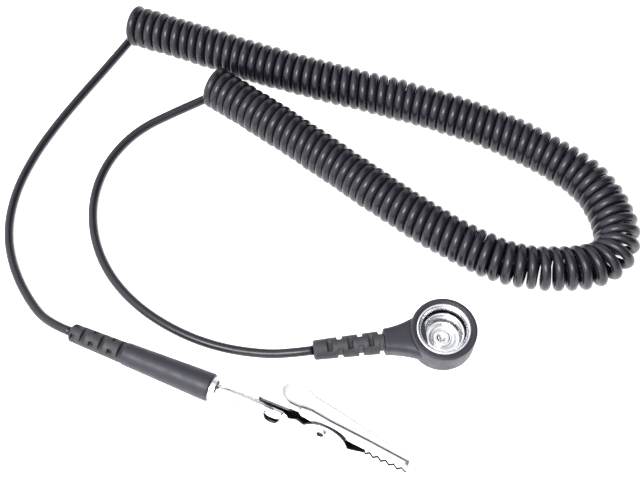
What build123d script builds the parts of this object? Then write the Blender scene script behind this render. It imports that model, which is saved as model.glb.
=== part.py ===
from build123d import *
import math
import os

# Curly grounding cord of a wrist strap: a snap head at one end, a banana plug with a
# crocodile clip pushed onto it at the other, and a retractile cord between them.
# Millimetres, +Z up. The origin is the centre of the snap head's flat back, on the surface
# that the whole cord lies on.

# Cord
CORD_OD = 2.45
CONDUCTOR_D = 1.0
COIL_OD = 12.0
FLOOR_GAP = 0.05  # the cord's tubes clear the surface by this

# Snap head
SNAP_OD = 17.3
SNAP_HEIGHT = 7.7
SNAP_FLOOR = 0.5
SOCKET_D = 10.4
SOCKET_WALL = 2.0
CUP_SHEET = 0.4
GROOVE_DEPTH = 0.8
MOUTH_LIP = 0.1  # the mouth is narrower than the groove by this on the radius
MOUTH_SLOPE = 0.55  # width of the slope from the mouth up to the rim's flat
RIM_WIDTH = 1.2  # from the groove's wall out to the edge of the rim
RING_WIRE_D = 0.8
RING_GRIP = 0.15  # the free ring is smaller than the socket by this on the radius
RING_SPLIT = 1.6
RING_SPLIT_TURN = 262.0  # degrees from +X
BOSS_D = 5.2
BOSS_HEIGHT = 0.6
RIVET_SHANK_D = 2.2
TERMINAL_SHEET = 0.3
TERMINAL_D = 8.0
TONGUE_WIDTH = 2.2
NECK_REACH = 15.6
NECK_WIDTH = 5.6
NECK_HEIGHT = 5.4
NECK_ROOT_WIDTH = 12.4
SNAP_LEAD_Z = 3.1
SNAP_AXIS_TURN = 187.0  # degrees from +X, the way the neck points
RESISTOR_D = 2.3
RESISTOR_LENGTH = 4.5
RESISTOR_WIRE_D = 0.6
SNAP_RELIEF_LENGTH = 18.4
SNAP_RELIEF_REAR_D = 5.2
SNAP_RELIEF_FRONT_D = 6.1
SNAP_SLEEVE_LENGTH = 1.2
SLEEVE_D = 3.8
CRIMP_LENGTH = 4.4

# Banana plug
PLUG_REAR = (-96.7, 0.5)
PLUG_TURN = -22.4  # degrees from +X, the way the plug points
PLUG_Z = 4.1
PLUG_RELIEF_LENGTH = 15.5
PLUG_RELIEF_REAR_D = 4.9
PLUG_RELIEF_FRONT_D = 5.6
HANDLE_LENGTH = 24.8
HANDLE_REAR_D = 5.9
HANDLE_FRONT_D = 7.4
HANDLE_EDGE = 0.5
PLUG_SLEEVE_LENGTH = 4.0
COLLAR_D = 6.1
COLLAR_LENGTH = 1.8
PIN_D = 2.4
STEM_D = 3.6
STEM_LENGTH = 9.5
FERRULE_D = 3.0
FERRULE_LENGTH = 8.0
CAGE_LENGTH = 16.4
CAGE_RING_LENGTH = 1.3
CAGE_END_D = 3.2
CAGE_BULGE_D = 4.0
CAGE_SHEET = 0.25
CAGE_LEAVES = 6
CAGE_SLOT = 0.45
TIP_LENGTH = 2.1

# Segmented strain reliefs
RELIEF_PITCH = 5.4
NOTCH_WIDTH = 1.25
WEB_WIDTH = 3.0
WINDOW_LENGTH = 1.25
WINDOW_WIDTH = 3.2
PLUG_WINDOW_WIDTH = 1.3
RELIEF_CORE_D = 3.0
RELIEF_END_ROUND = 0.7

# Crocodile clip: x along the plug from the rear of its strain relief, z up the clip
CLIP_ROLL = -25.0
CLIP_SHEET = 0.6
CLIP_TAIL_X = 52.5
BARREL_LENGTH = 8.8
BARREL_SPLIT = 2.2
BARREL_WINDOW = 5.0  # length of the cut beside the pin's nose, on one side of the split
WINDOW_FLOOR_Z = -1.0
TROUGH_Z = 1.9  # top edge of the walls between the barrel and the cheeks
PIVOT_BEHIND_TAIL = 18.4
PIVOT_Z = 4.0
CLIP_LENGTH = 40.7
CHEEK_WIDTH = 7.8
JAW_TIP_WIDTH = 3.8
UPPER_WIDTH = 6.3
TAB_WIDTH = 8.6
RIVET_D = 2.2
RIVET_HEAD_D = 3.2
RIVET_HEAD_HEIGHT = 0.7
TOOTH_PITCH = 2.1
TOOTH_COUNT = 5
TOOTH_DEPTH = 1.0
SPRING_OD = 4.2
SPRING_WIRE = 0.6

# Clearances
RUNNING = 0.05  # on the radius, between a turning or sliding piece and what it runs on
END_PLAY = 0.06
JAW_GAP = 0.18
SPRING_GAP = 0.15

# The cord's route, seen from above, as points of straight runs joined by arcs
COIL_ROUTE = [
    (-89.2, 101.2), (-68.7, 93.8), (-49.3, 86.0), (-29.1, 79.3), (-8.6, 73.2),
    (11.4, 66.0), (30.3, 56.0), (47.0, 42.6), (50.1, 19.3), (22.5, 17.1),
    (4.6, 26.4), (-12.7, 39.1), (-29.4, 52.6), (-46.3, 65.8), (-63.6, 78.2),
]
PLUG_LEAD_BEND = (-101.7, 2.6, 3.8)
PLUG_LEAD_ROUTE = [
    (-107.8, 7.8), (-114.9, 18.8), (-118.8, 31.0), (-118.5, 44.0), (-114.7, 56.7),
    (-109.1, 68.2), (-102.5, 79.4), (-95.7, 90.3),
]
SNAP_LEAD_ROUTE = [
    (-74.4, 72.4), (-85.4, 65.8), (-93.0, 55.6), (-96.3, 43.2), (-94.9, 30.4),
    (-89.7, 18.9), (-81.3, 9.4), (-70.7, 2.2), (-59.0, -2.6), (-46.4, -4.6),
]
SNAP_LEAD_BEND = (-38.6, -4.75, 2.9)

cord_r = CORD_OD / 2
lead_z = cord_r + FLOOR_GAP
snap_frame = Location((0, 0, SNAP_LEAD_Z), (0, 0, SNAP_AXIS_TURN))
plug_frame = Location((*PLUG_REAR, PLUG_Z), (0, 0, PLUG_TURN))
clip_frame = plug_frame * Location((0, 0, 0), (CLIP_ROLL, 0, 0))
handle_x = PLUG_RELIEF_LENGTH
collar_x = handle_x + HANDLE_LENGTH
cage_x = collar_x + COLLAR_LENGTH + END_PLAY
cage_end_x = cage_x + CAGE_LENGTH
pivot_x = CLIP_TAIL_X + PIVOT_BEHIND_TAIL
jaw_tip_x = CLIP_TAIL_X + CLIP_LENGTH
snap_relief_x = NECK_REACH + SNAP_RELIEF_LENGTH


def turned(*profile):
    """Solid turned about the X axis from (x, radius) points."""
    return revolve(make_face(Polyline(*profile, close=True)), Axis.X)


def rod(x0, x1, diameter):
    """Round bar along X from x0 to x1."""
    return Pos(x0, 0, 0) * (Rot(0, 90, 0) * Cylinder(diameter / 2, x1 - x0, align=BASE))


def block(x0, x1, y0, y1, z0, z1):
    """Box between two corners."""
    size = (x1 - x0, y1 - y0, z1 - z0)
    return Pos(x0, y0, z0) * Box(*size, align=(Align.MIN, Align.MIN, Align.MIN))


BASE = (Align.CENTER, Align.CENTER, Align.MIN)


# Cord

def rounded_path(points):
    """Straight runs joined by arcs as large as the two runs at each corner allow."""
    radii = []
    for before, corner, after in zip(points, points[1:], points[2:]):
        half_turn = math.radians((corner - before).get_angle(after - corner)) / 2
        run = min((corner - before).length, (after - corner).length)
        radii.append(0.45 * run / math.tan(half_turn))
    return FilletPolyline(*points, radius=radii), radii


def cord_tube(name, points, diameter):
    """Plain tube along a rounded path."""
    path, radii = rounded_path(points)
    tube = sweep(Plane(origin=path @ 0, z_dir=path % 0) * Circle(diameter / 2), path=path)
    ideal = math.pi * diameter**2 / 4 * path.length
    print(f"{name}: {path.length:.1f} mm, radii " + " ".join(f"{r:.0f}" for r in radii))
    print(f"{name}: volume over section times length {tube.volume / ideal:.4f}")
    return tube


def curly_section():
    """The whole coiled stretch as one tube of the coil's outer diameter."""
    height = COIL_OD / 2 + FLOOR_GAP
    return cord_tube("curly_section", [Vector(x, y, height) for x, y in COIL_ROUTE], COIL_OD)


def lead_plug_side():
    """Straight stretch of cord from the plug's strain relief to under the coil's first turn."""
    start = plug_frame.position
    route = [Vector(x, y, lead_z) for x, y in PLUG_LEAD_ROUTE + COIL_ROUTE[:1]]
    return cord_tube("lead_plug_side", [start, Vector(*PLUG_LEAD_BEND), *route], CORD_OD)


def lead_snap_side():
    """Straight stretch of cord from under the coil's last turn to the snap's strain relief."""
    end = (snap_frame * Location((snap_relief_x, 0, 0))).position
    route = [Vector(x, y, lead_z) for x, y in COIL_ROUTE[-1:] + SNAP_LEAD_ROUTE]
    return cord_tube("lead_snap_side", [*route, Vector(*SNAP_LEAD_BEND), end], CORD_OD)


def cord_end(x_jacket, x_conductor, x_outer):
    """The cord's jacket held in a strain relief, with its bared conductor."""
    jacket = rod(min(x_jacket, x_outer), max(x_jacket, x_outer), CORD_OD)
    low, high = sorted((x_jacket, x_conductor))
    return jacket + rod(low, high, CONDUCTOR_D)


# Strain reliefs

def relief_blank(length, rear_d, front_d, sleeve_length):
    """Tapered sleeve round the cord, with a thinner spigot that the moulding grips."""
    rear, front, bore, spigot = (d / 2 for d in (rear_d, front_d, CORD_OD, SLEEVE_D))
    edge = RELIEF_END_ROUND
    return turned(
        (0, bore), (0, rear - edge), (edge * 0.3, rear - edge * 0.3), (edge, rear),
        (length, front), (length, spigot), (length + sleeve_length, spigot),
        (length + sleeve_length, bore),
    )


def notch_pair(x):
    """Material taken from the two sides at x, leaving a web across the middle."""
    reach = SNAP_OD
    far = block(x, x + NOTCH_WIDTH, WEB_WIDTH / 2, reach, -reach, reach)
    return far + mirror(far, Plane.XZ)


def window_pair(x, width):
    """Two opposite pockets down to the core at x."""
    core = RELIEF_CORE_D / 2
    top = block(x, x + WINDOW_LENGTH, -width / 2, width / 2, core, SNAP_OD)
    return top + mirror(top, Plane.XY)


def relief_cuts(length, first_notch, window_turns, window_width):
    """Notches at an even pitch, with windows half-way between them."""
    cuts = []
    x = first_notch
    while x < length:
        cuts.append(notch_pair(x))
        window_x = x - RELIEF_PITCH / 2
        for turn in window_turns:
            cuts.append(Rot(turn, 0, 0) * window_pair(window_x, window_width))
        x += RELIEF_PITCH
    return cuts


def snap_strain_relief():
    """Cord end at x = 0 before it is turned to face the snap head."""
    blank = relief_blank(SNAP_RELIEF_LENGTH, SNAP_RELIEF_REAR_D, SNAP_RELIEF_FRONT_D,
                         SNAP_SLEEVE_LENGTH)
    first = SNAP_RELIEF_LENGTH - NOTCH_WIDTH - 2 * RELIEF_PITCH
    relief = blank - relief_cuts(SNAP_RELIEF_LENGTH, first, (0,), WINDOW_WIDTH)
    return snap_frame * Location((snap_relief_x, 0, 0), (0, 0, 180)) * relief


def plug_strain_relief():
    """Notches face up and down, windows face the four diagonals."""
    blank = relief_blank(PLUG_RELIEF_LENGTH, PLUG_RELIEF_REAR_D, PLUG_RELIEF_FRONT_D,
                         PLUG_SLEEVE_LENGTH)
    first = PLUG_RELIEF_LENGTH - NOTCH_WIDTH - 2 * RELIEF_PITCH
    cuts = relief_cuts(PLUG_RELIEF_LENGTH, first, (45, -45), PLUG_WINDOW_WIDTH)
    return plug_frame * Rot(90, 0, 0) * (blank - cuts)


# Snap head

def ring_profile(*points):
    """Solid turned about Z from (radius, z) points."""
    return revolve(Plane.XZ * make_face(Polyline(*points, close=True)), Axis.Z)


cup_floor_z = SNAP_FLOOR + TERMINAL_SHEET
socket_low_z = cup_floor_z + CUP_SHEET + 0.9
socket_high_z = socket_low_z + SOCKET_WALL
ring_z = socket_high_z + RING_WIRE_D / 2 + 0.1
socket_r = SOCKET_D / 2
groove_r = socket_r + GROOVE_DEPTH
mouth_r = groove_r - MOUTH_LIP
rim_flat_r = mouth_r + MOUTH_SLOPE
rim_r = groove_r + RIM_WIDTH
lip_z = SNAP_HEIGHT - 1.0


def cup_outside():
    """Outline of the pressed cup against its moulding, from the centre out to the rim."""
    out = socket_r + CUP_SHEET
    return [
        (0, cup_floor_z), (out - 0.6, cup_floor_z), (out, cup_floor_z + 0.6),
        (out, socket_high_z - 0.2), (groove_r + CUP_SHEET, socket_high_z),
        (groove_r + CUP_SHEET, lip_z), (rim_r, lip_z + 0.2),
    ]


def snap_socket_cup():
    """Pressed cup with a rolled rim, an undercut groove and a plain socket wall."""
    top = SNAP_HEIGHT + 0.05
    inside = [
        (rim_r, top - 0.3), (rim_r - 0.25, top), (rim_flat_r + 0.1, top),
        (rim_flat_r - 0.1, top - 0.2), (mouth_r, lip_z + 0.2), (mouth_r, lip_z),
        (groove_r, lip_z - 0.3), (groove_r, socket_high_z + 0.2), (socket_r, socket_high_z),
        (socket_r, socket_low_z), (socket_r - 0.7, cup_floor_z + CUP_SHEET),
        (0, cup_floor_z + CUP_SHEET),
    ]
    cup = ring_profile(*cup_outside(), *inside)
    return cup - Cylinder(RIVET_SHANK_D / 2, SNAP_HEIGHT * 2)


def snap_spring_ring():
    """Split wire ring in the groove, which grips the stud's head."""
    centre_r = socket_r - RING_GRIP + RING_WIRE_D / 2
    ring = Pos(0, 0, ring_z) * Torus(centre_r, RING_WIRE_D / 2)
    split = block(0, SNAP_OD, -RING_SPLIT / 2, RING_SPLIT / 2, 0, SNAP_HEIGHT)
    return Rot(0, 0, RING_SPLIT_TURN) * (ring - split)


def snap_rivet():
    """Rivet that joins the cup to its terminal, with a dimpled round head."""
    head_z = cup_floor_z + CUP_SHEET
    head = Pos(0, 0, head_z) * Cylinder(BOSS_D / 2, BOSS_HEIGHT, align=BASE)
    head = chamfer(head.edges().group_by(Axis.Z)[-1], 0.25)
    dimple = Pos(0, 0, head_z + BOSS_HEIGHT + 0.75) * Sphere(1.1)
    shank = Pos(0, 0, SNAP_FLOOR) * Cylinder(
        RIVET_SHANK_D / 2, head_z - SNAP_FLOOR, align=BASE)
    return head - dimple + shank


def snap_terminal():
    """Disc under the cup, with a tongue that stands up to meet the resistor's wire."""
    disc = Pos(0, 0, SNAP_FLOOR) * Cylinder(TERMINAL_D / 2, TERMINAL_SHEET, align=BASE)
    disc -= Cylinder(RIVET_SHANK_D / 2, SNAP_HEIGHT)
    half = TONGUE_WIDTH / 2
    high = SNAP_FLOOR + TERMINAL_SHEET
    end = SNAP_OD / 2 - 0.3
    tongue = block(TERMINAL_D / 2 - 0.8, end, -half, half, SNAP_FLOOR, high)
    post = block(end - TERMINAL_SHEET, end, -half, half, high, SNAP_LEAD_Z + half)
    return Rot(0, 0, SNAP_AXIS_TURN) * (disc + tongue + post)


resistor_x = SNAP_OD / 2 + 0.9
resistor_end_x = resistor_x + RESISTOR_LENGTH
crimp_x = NECK_REACH + 0.4


def series_resistor():
    """Moulded 1 megohm resistor body with swollen ends."""
    end, waist = RESISTOR_D / 2, RESISTOR_D / 2 - 0.2
    body = turned(
        (resistor_x, 0), (resistor_x, end - 0.3), (resistor_x + 0.3, end),
        (resistor_x + 1.1, end), (resistor_x + 1.5, waist), (resistor_end_x - 1.5, waist),
        (resistor_end_x - 1.1, end), (resistor_end_x - 0.3, end),
        (resistor_end_x, end - 0.3), (resistor_end_x, 0),
    )
    return snap_frame * body


def resistor_wires():
    """The resistor's two tinned wires, to the terminal and into the crimp."""
    first = rod(SNAP_OD / 2 - 0.3, resistor_x, RESISTOR_WIRE_D)
    second = rod(resistor_end_x, crimp_x + CRIMP_LENGTH / 2, RESISTOR_WIRE_D)
    return snap_frame * Compound(children=[first, second])


def snap_crimp():
    """Crimp sleeve that joins the resistor's wire to the cord's conductor."""
    middle = crimp_x + CRIMP_LENGTH / 2
    end = crimp_x + CRIMP_LENGTH
    sleeve = rod(crimp_x, end, CORD_OD)
    sleeve -= rod(crimp_x - 1, middle, RESISTOR_WIRE_D)
    return snap_frame * (sleeve - rod(middle, end + 1, CONDUCTOR_D))


def cord_end_snap():
    """Cord inside the snap's strain relief."""
    jacket = crimp_x + CRIMP_LENGTH
    return snap_frame * cord_end(jacket, crimp_x + CRIMP_LENGTH / 2, snap_relief_x)


def neck():
    """Neck with hollow flanks, which narrows from the head to the strain relief."""
    root, end = NECK_ROOT_WIDTH / 2, NECK_WIDTH / 2
    root_x = math.sqrt((SNAP_OD / 2) ** 2 - root**2) - 0.4
    flank = Spline((root_x, root), ((root_x + NECK_REACH) / 2 - 0.3, (root + end) / 2 - 0.55),
                   (NECK_REACH, end), tangents=((0.80, -0.60), (1, -0.06)))
    other = mirror(flank, Plane.XZ)
    outline = make_face([flank, Line(flank @ 1, other @ 1), other, Line(other @ 0, flank @ 0)])
    low = SNAP_LEAD_Z - NECK_HEIGHT / 2
    solid = Pos(0, 0, low) * extrude(outline, NECK_HEIGHT)
    long_edges = solid.edges().filter_by(GeomType.BSPLINE)
    return fillet(long_edges, NECK_HEIGHT * 0.2)


def snap_housing():
    """Moulded head and neck over the cup, terminal, resistor and crimp."""
    head = Cylinder(SNAP_OD / 2, SNAP_HEIGHT, align=BASE)
    head = fillet(head.edges().group_by(Axis.Z)[-1], 0.5)
    head = fillet(head.edges().group_by(Axis.Z)[0], 0.3)
    body = head + neck()
    pocket = ring_profile(*cup_outside(), (rim_r, SNAP_HEIGHT * 2), (0, SNAP_HEIGHT * 2))
    body = Rot(0, 0, SNAP_AXIS_TURN) * body - pocket
    spigot = rod(NECK_REACH - SNAP_SLEEVE_LENGTH, NECK_REACH + 1, SLEEVE_D)
    wires = rod(SNAP_OD / 2 - 0.3, NECK_REACH, RESISTOR_WIRE_D)
    body = body - snap_frame * spigot - snap_frame * wires - snap_rivet()
    return body - snap_terminal() - series_resistor()


# Banana plug

stem_x = collar_x - STEM_LENGTH
ferrule_x = stem_x - FERRULE_LENGTH
jacket_x = handle_x + PLUG_SLEEVE_LENGTH + 1.5
core_end_x = cage_end_x + END_PLAY + TIP_LENGTH * 0.5


def plug_handle():
    """Tapered moulded handle, hollow for the stem, the ferrule and the cord."""
    rear, front, edge = HANDLE_REAR_D / 2, HANDLE_FRONT_D / 2, HANDLE_EDGE
    outside = [
        (handle_x, rear - edge / 2), (handle_x + edge / 2, rear),
        (collar_x - edge, front), (collar_x - edge * 0.3, front - edge * 0.3),
        (collar_x, front - edge),
    ]
    spigot_end = handle_x + PLUG_SLEEVE_LENGTH
    inside = [
        (collar_x, STEM_D / 2), (stem_x, STEM_D / 2), (stem_x, FERRULE_D / 2),
        (jacket_x, FERRULE_D / 2), (jacket_x, CORD_OD / 2), (spigot_end, CORD_OD / 2),
        (spigot_end, SLEEVE_D / 2), (handle_x, SLEEVE_D / 2),
    ]
    return plug_frame * turned(*outside, *inside)


def plug_pin():
    """Turned stem and core that the spring cage runs on."""
    pin = rod(stem_x, collar_x, STEM_D) + rod(collar_x, core_end_x, PIN_D)
    for groove in range(4):
        x = stem_x + 1.5 + groove * 1.8
        pin -= rod(x, x + 0.6, STEM_D + 1) - rod(x, x + 0.6, STEM_D - 0.6)
    return plug_frame * pin


def plug_collar():
    """Nickelled shoulder in front of the handle."""
    r, bore, end = COLLAR_D / 2, PIN_D / 2, collar_x + COLLAR_LENGTH
    return plug_frame * turned(
        (collar_x, bore), (collar_x, r), (end - 0.5, r), (end, r - 0.5), (end, bore))


def plug_spring_cage():
    """Bulged cage of spring leaves between two rings, free to turn on the pin."""
    bore = PIN_D / 2 + RUNNING
    end_r, bulge_r = CAGE_END_D / 2, CAGE_BULGE_D / 2
    low, high = cage_x + CAGE_RING_LENGTH, cage_end_x - CAGE_RING_LENGTH
    middle = (low + high) / 2
    top = ThreePointArc((low, end_r), (middle, bulge_r), (high, end_r))
    under = ThreePointArc((high, bore), (middle, bulge_r - CAGE_SHEET), (low, bore))
    outline = [
        Line((cage_x, bore), (cage_x, end_r)), Line((cage_x, end_r), (low, end_r)), top,
        Line((high, end_r), (cage_end_x, end_r)), Line((cage_end_x, end_r), (cage_end_x, bore)),
        Line((cage_end_x, bore), (high, bore)), under, Line((low, bore), (cage_x, bore)),
    ]
    cage = revolve(make_face(outline), Axis.X)
    slot = block(low, high, -CAGE_SLOT / 2, CAGE_SLOT / 2, 0, CAGE_BULGE_D)
    for leaf in range(CAGE_LEAVES):
        cage -= Rot((leaf + 0.5) * 360 / CAGE_LEAVES, 0, 0) * slot
    return plug_frame * cage


def plug_tip():
    """Nose peened onto the core, which keeps the cage on."""
    x0, r = cage_end_x + END_PLAY, CAGE_END_D / 2
    nose = turned(
        (x0, 0), (x0, r), (x0 + TIP_LENGTH * 0.45, r), (x0 + TIP_LENGTH * 0.8, r * 0.78),
        (x0 + TIP_LENGTH, r * 0.4), (x0 + TIP_LENGTH, 0))
    return plug_frame * (nose - rod(x0 - 1, core_end_x, PIN_D))


def plug_ferrule():
    """Solder sleeve between the conductor and the stem."""
    sleeve = rod(ferrule_x, stem_x, FERRULE_D)
    return plug_frame * (sleeve - rod(ferrule_x - 1, ferrule_x + FERRULE_LENGTH / 2, CONDUCTOR_D))


def cord_end_plug():
    """Cord inside the plug's strain relief."""
    return plug_frame * cord_end(jacket_x, ferrule_x + FERRULE_LENGTH / 2, 0)


# Crocodile clip

barrel_r = CAGE_BULGE_D / 2 + RUNNING
barrel_out_r = barrel_r + CLIP_SHEET
barrel_end_x = CLIP_TAIL_X + BARREL_LENGTH
mesh_x = pivot_x + 11.6
mesh_z = PIVOT_Z - 2.2
tip_mesh_z = mesh_z - 1.6
tooth_slope = (tip_mesh_z - mesh_z) / (TOOTH_COUNT * TOOTH_PITCH)


def plan(stations, inset):
    """Outline seen from above, symmetrical about the plug's axis, from (x, width) stations."""
    side = [(x, width / 2 - inset) for x, width in stations]
    other = [(x, -half) for x, half in reversed(side)]
    return make_face(Polyline(*side, *other, close=True))


def channel(stations, floor_low, floor_high, profile):
    """Sheet folded to a channel: side profile times plan, less the inside above its floor."""
    reach = 40
    outer = Pos(0, 0, -reach / 2) * extrude(plan(stations, 0), reach)
    inner = Pos(0, 0, -reach / 2) * extrude(plan(stations, CLIP_SHEET), reach)
    side = Pos(0, reach / 2, 0) * extrude(Plane.XZ * make_face(Polyline(*profile, close=True)), reach)
    web = Pos(0, reach / 2, 0) * extrude(
        Plane.XZ * make_face(Polyline(*floor_low, *floor_high, close=True)), reach)
    return outer & side - (inner - web)


def teeth(x0, z0, gap):
    """Zigzag of the meeting line, from the first tooth to the tip."""
    points = []
    for tooth in range(TOOTH_COUNT):
        for share, rise in ((0.0, -0.5), (0.5, 0.5)):
            x = x0 + (tooth + share) * TOOTH_PITCH
            points.append((x, z0 + (x - x0) * tooth_slope + rise * TOOTH_DEPTH + gap))
    x = x0 + TOOTH_COUNT * TOOTH_PITCH
    points.append((x, z0 + (x - x0) * tooth_slope - 0.5 * TOOTH_DEPTH + gap))
    return points


def arc_points(cx, cz, r, start, end, count):
    """Points on an arc in the side view, angles in degrees from +X."""
    step = (end - start) / (count - 1)
    angles = [math.radians(start + step * i) for i in range(count)]
    return [(cx + r * math.cos(a), cz + r * math.sin(a)) for a in angles]


def clip_lower_jaw():
    """Fixed jaw: split barrel, trough, cheeks round the pivot and the lower teeth."""
    floor = -barrel_out_r
    stations = [
        (barrel_end_x - 1.0, barrel_out_r * 1.5), (pivot_x - 7.5, barrel_out_r * 1.9),
        (pivot_x - 4.8, CHEEK_WIDTH), (pivot_x + 2.5, CHEEK_WIDTH),
        (pivot_x + 6.8, CHEEK_WIDTH - 0.6), (mesh_x - 0.4, JAW_TIP_WIDTH + 1.0),
        (jaw_tip_x - 0.6, JAW_TIP_WIDTH), (jaw_tip_x, JAW_TIP_WIDTH - 1.0),
    ]
    cheek = arc_points(pivot_x + 0.5, PIVOT_Z - 4.6, 7.0, 155, 23, 15)
    profile = [
        (barrel_end_x - 1.0, floor), (barrel_end_x - 1.0, TROUGH_Z), (pivot_x - 6.6, TROUGH_Z),
        *cheek, (pivot_x + 8.0, mesh_z - 0.2), (mesh_x - 0.8, mesh_z - 0.3),
        *teeth(mesh_x, mesh_z, -JAW_GAP / 2), (jaw_tip_x, floor + 0.9),
        (jaw_tip_x - 1.2, floor + 0.4), (pivot_x + 7.0, floor),
    ]
    low = [(barrel_end_x - 3, floor - 1), (jaw_tip_x + 2, floor - 1)]
    high = [(jaw_tip_x + 2, floor + CLIP_SHEET + 0.6), (pivot_x + 7, floor + CLIP_SHEET),
            (barrel_end_x - 3, floor + CLIP_SHEET)]
    jaw = channel(stations, low, high, profile)
    barrel = rod(CLIP_TAIL_X, barrel_end_x, 2 * barrel_out_r)
    bore = rod(CLIP_TAIL_X - 1, barrel_end_x + 1, 2 * barrel_r)
    split = block(CLIP_TAIL_X - 1, barrel_end_x + 1, -BARREL_SPLIT / 2, BARREL_SPLIT / 2, 0,
                  2 * barrel_out_r)
    window_end_x = barrel_end_x - 1.2
    window = block(window_end_x - BARREL_WINDOW, window_end_x, -2 * barrel_out_r, 0,
                   WINDOW_FLOOR_Z, 2 * barrel_out_r)
    jaw = jaw - bore + (barrel - bore - split - window)
    hole = Pos(pivot_x, 0, PIVOT_Z) * Rot(90, 0, 0) * Cylinder(RIVET_D / 2, CHEEK_WIDTH * 2)
    return clip_frame * (jaw - hole)


plate_tip_z = tip_mesh_z + 2.3
plate_slope = math.tan(math.radians(13.0))


def plate_z(x):
    """Height of the upper jaw's top face."""
    return plate_tip_z + (jaw_tip_x - x) * plate_slope


def clip_upper_jaw():
    """Moving jaw: thumb tab, sloping plate, side walls with the upper teeth."""
    tab_x = pivot_x - 12.5
    tab = arc_points(tab_x + 3.6, 0, 1.0, 180, 90, 7)
    stations = [
        *((tab_x + 3.6 * (1 + (x - tab_x - 3.6)), TAB_WIDTH * max(y, 0.22)) for x, y in tab),
        (tab_x + 5.2, TAB_WIDTH - 0.3), (pivot_x - 4.2, UPPER_WIDTH), (pivot_x + 1.5, UPPER_WIDTH),
        (mesh_x, JAW_TIP_WIDTH + 0.9), (jaw_tip_x - 0.5, JAW_TIP_WIDTH - 0.1),
        (jaw_tip_x, JAW_TIP_WIDTH - 1.0),
    ]
    top = [
        (tab_x, plate_z(tab_x) - 1.6), (tab_x + 0.9, plate_z(tab_x) - 0.75),
        (tab_x + 2.4, plate_z(tab_x + 2.4) - 0.1), (tab_x + 4, plate_z(tab_x + 4)),
        (jaw_tip_x - 0.6, plate_z(jaw_tip_x - 0.6)), (jaw_tip_x, plate_z(jaw_tip_x) - 0.3),
    ]
    knuckle = arc_points(pivot_x, PIVOT_Z, 2.1, -30, -150, 7)
    front = teeth(mesh_x, mesh_z, JAW_GAP / 2)
    profile = [
        *top, (jaw_tip_x, front[-1][1] + 0.1), *reversed(front), (mesh_x - 0.5, mesh_z + 0.9),
        (pivot_x + 6.5, PIVOT_Z - 0.3), *knuckle, (pivot_x - 3.2, PIVOT_Z + 1.6),
        (pivot_x - 5.0, plate_z(pivot_x - 5.0) - 1.5), (tab_x + 4, plate_z(tab_x + 4) - 1.3),
        (tab_x + 2.4, plate_z(tab_x + 2.4) - 1.4), (tab_x, plate_z(tab_x) - 2.3),
    ]
    sheet = [(x, z - CLIP_SHEET) for x, z in reversed(top)]
    sheet = [(jaw_tip_x + 2, sheet[0][1] - 0.4), *sheet[1:-1], (tab_x - 1, sheet[-1][1] - 0.5)]
    above = [(tab_x - 1, 20), (jaw_tip_x + 2, 20)]
    jaw = channel(stations, sheet, above, profile)
    hole = Pos(pivot_x, 0, PIVOT_Z) * Rot(90, 0, 0) * Cylinder(
        RIVET_D / 2 + RUNNING, CHEEK_WIDTH * 2)
    return clip_frame * (jaw - hole)


def clip_pivot_rivet():
    """Rivet through both cheeks, with a dimpled head on each side."""
    half = CHEEK_WIDTH / 2
    head_r = RIVET_HEAD_D / 2
    profile = [
        (0, 0), (RIVET_D / 2, 0), (RIVET_D / 2, half), (head_r, half),
        (head_r, half + RIVET_HEAD_HEIGHT * 0.45), (head_r * 0.72, half + RIVET_HEAD_HEIGHT),
        (head_r * 0.40, half + RIVET_HEAD_HEIGHT), (head_r * 0.25, half + 0.2), (0, half + 0.2),
    ]
    one = ring_profile(*profile)
    rivet = one + mirror(one, Plane.XY)
    return clip_frame * Pos(pivot_x, 0, PIVOT_Z) * Rot(90, 0, 0) * rivet


def clip_spring():
    """Coil round the rivet with one leg on the trough and one under the thumb plate."""
    width = UPPER_WIDTH - 2 * CLIP_SHEET - 2 * SPRING_GAP
    centre_r = SPRING_OD / 2 - SPRING_WIRE / 2
    turns = int(width // SPRING_WIRE)
    pitch = (width - SPRING_WIRE) / (turns - 1)
    coils = [Pos(0, -width / 2 + SPRING_WIRE / 2 + i * pitch, 0)
             * Rot(90, 0, 0) * Torus(centre_r, SPRING_WIRE / 2) for i in range(turns)]
    sleeve = Rot(90, 0, 0) * (Cylinder(centre_r + 0.1, width - SPRING_WIRE)
                              - Cylinder(centre_r - 0.1, width))
    wire_r = SPRING_WIRE / 2
    side = width / 2 - wire_r
    under = plate_z(pivot_x - 7.5) - CLIP_SHEET - wire_r - SPRING_GAP - PIVOT_Z
    trough = -barrel_out_r + CLIP_SHEET + wire_r + SPRING_GAP - PIVOT_Z
    up = Line((0, side, centre_r), (-7.5, side, under))
    down = Line((0, -side, -centre_r), (-5.4, -side, trough))
    spring = sleeve + coils
    for leg in (up, down):
        spring += sweep(Plane(origin=leg @ 0, z_dir=leg % 0) * Circle(wire_r), path=leg)
    return clip_frame * Pos(pivot_x, 0, PIVOT_Z) * spring


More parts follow.
